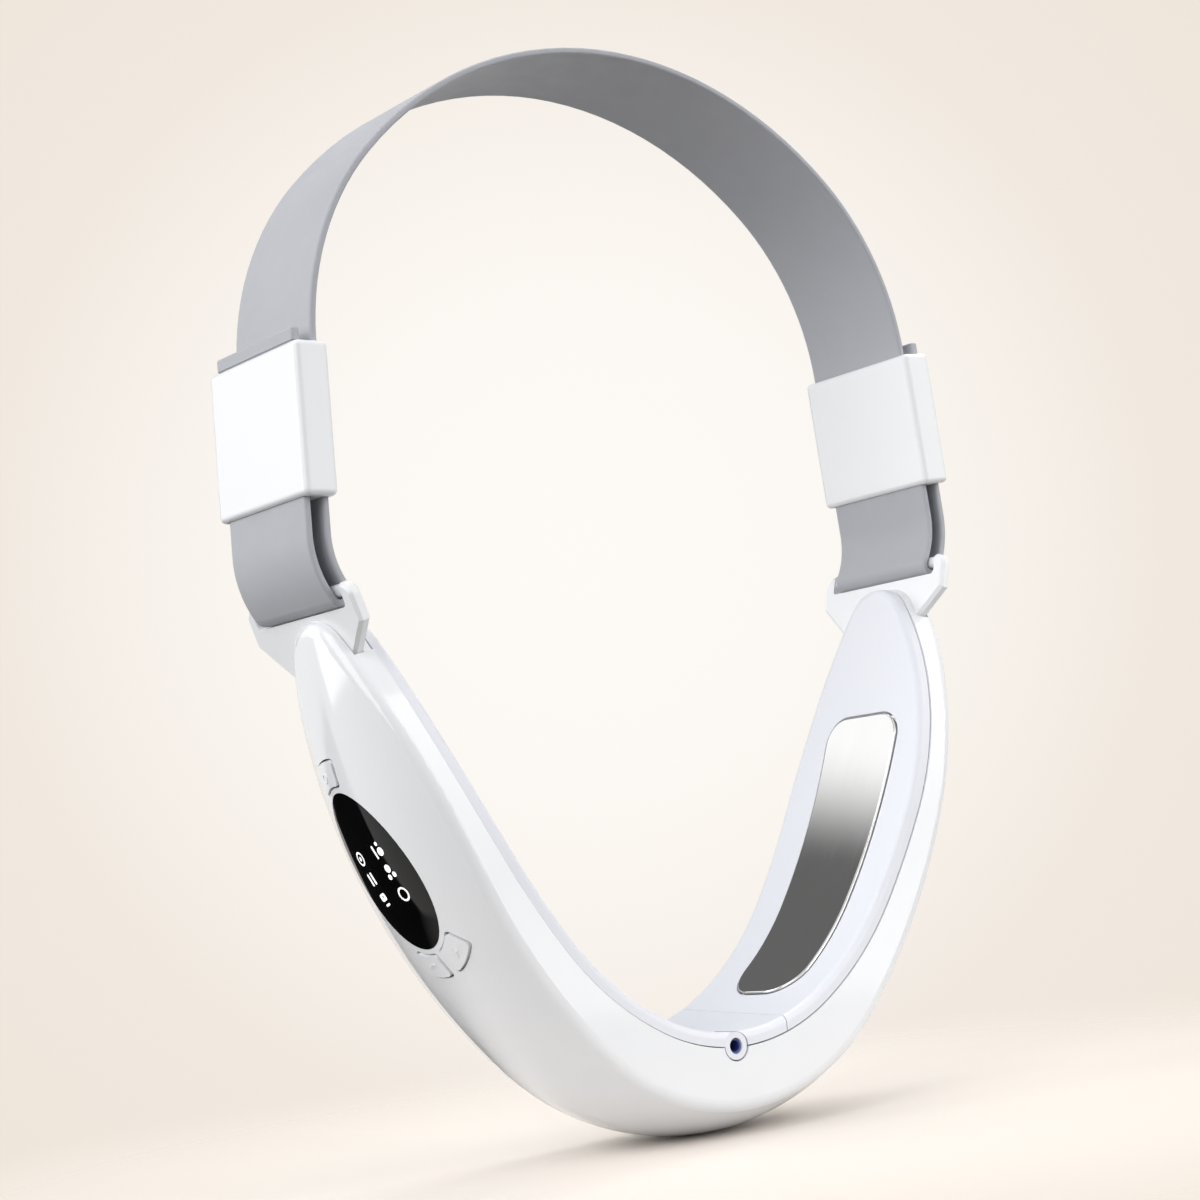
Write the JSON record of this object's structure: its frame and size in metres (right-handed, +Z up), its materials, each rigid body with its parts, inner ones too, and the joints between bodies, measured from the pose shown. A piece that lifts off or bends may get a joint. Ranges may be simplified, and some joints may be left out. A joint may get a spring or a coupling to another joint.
{
  "type": "face massager",
  "caption": "U-shaped face massager that cups the jaw with polished electrode plates, a display with keys, and an adjustable strap over the head.",
  "frame": {"origin": "lowest point of the chin's outer face, on the housing's middle plane", "axes": "+Z up towards the crown of the head, -Y to the front where the charging socket opens, +X towards the arm without the display"},
  "size_m": [0.1762, 0.0463, 0.2375],
  "materials": {
    "white_gloss": "high gloss",
    "lining": "satin",
    "electrode_steel": "mirror polished",
    "white_satin": "satin",
    "strap_silicone": "matt silicone",
    "display_black": "high gloss",
    "black_plastic": "matt",
    "board_green": "satin",
    "screw_steel": "zinc plated",
    "socket_blue": "matt",
    "cell_foil": "satin foil",
    "inner_plastic": "matt",
    "motor_steel": "plated",
    "weight_brass": "machined",
    "cable_grey": "matt"
  },
  "bodies": {
    "housing": {"outer_shell": "white_gloss", "left_lining": "lining", "chin_panel": "lining", "right_lining": "lining", "left_electrode": "electrode_steel", "right_electrode": "electrode_steel", "left_ear": "white_satin", "right_ear": "white_satin", "head_strap": "strap_silicone", "display_lens": "display_black", "light_frame": "black_plastic", "control_board": "board_green", "key_switches": "black_plastic", "board_screws": "screw_steel", "ear_screws": "screw_steel", "charging_socket": "socket_blue", "battery": "cell_foil", "battery_bracket": "inner_plastic", "left_motor": "motor_steel", "right_motor": "motor_steel", "left_motor_cradle": "inner_plastic", "right_motor_cradle": "inner_plastic", "flat_cable": "cable_grey", "electrode_contacts": "weight_brass"},
    "mode_key": {"mode_button": "white_gloss"},
    "stronger_key": {"stronger_button": "white_gloss"},
    "weaker_key": {"weaker_button": "white_gloss"},
    "left_keeper": {"left_sleeve": "white_satin"},
    "right_keeper": {"right_sleeve": "white_satin"},
    "left_rotor": {"left_motor_weight": "weight_brass"},
    "right_rotor": {"right_motor_weight": "weight_brass"}
  },
  "joints": [
    {"name": "mode_press", "type": "slide", "parent": "housing", "child": "mode_key", "axis": [0.9295, 0, 0.3688], "range_m": [0, 0.0005], "stiffness_N_per_m": 300},
    {"name": "stronger_press", "type": "slide", "parent": "housing", "child": "stronger_key", "axis": [0.9295, 0, 0.3688], "range_m": [0, 0.0005], "stiffness_N_per_m": 300},
    {"name": "weaker_press", "type": "slide", "parent": "housing", "child": "weaker_key", "axis": [0.9295, 0, 0.3688], "range_m": [0, 0.0005], "stiffness_N_per_m": 300},
    {"name": "left_keeper_slide", "type": "slide", "parent": "housing", "child": "left_keeper", "axis": [-0.0436, 0, -0.999], "range_m": [0, 0.007]},
    {"name": "right_keeper_slide", "type": "slide", "parent": "housing", "child": "right_keeper", "axis": [0.0436, 0, -0.999], "range_m": [0, 0.007]},
    {"name": "left_rotor_spin", "type": "hinge", "parent": "housing", "child": "left_rotor", "pos_m": [-0.01542, 0.002, 0.0138], "axis": [0, 1, 0], "continuous": true},
    {"name": "right_rotor_spin", "type": "hinge", "parent": "housing", "child": "right_rotor", "pos_m": [0.01542, 0.002, 0.0138], "axis": [0, 1, 0], "continuous": true}
  ]
}
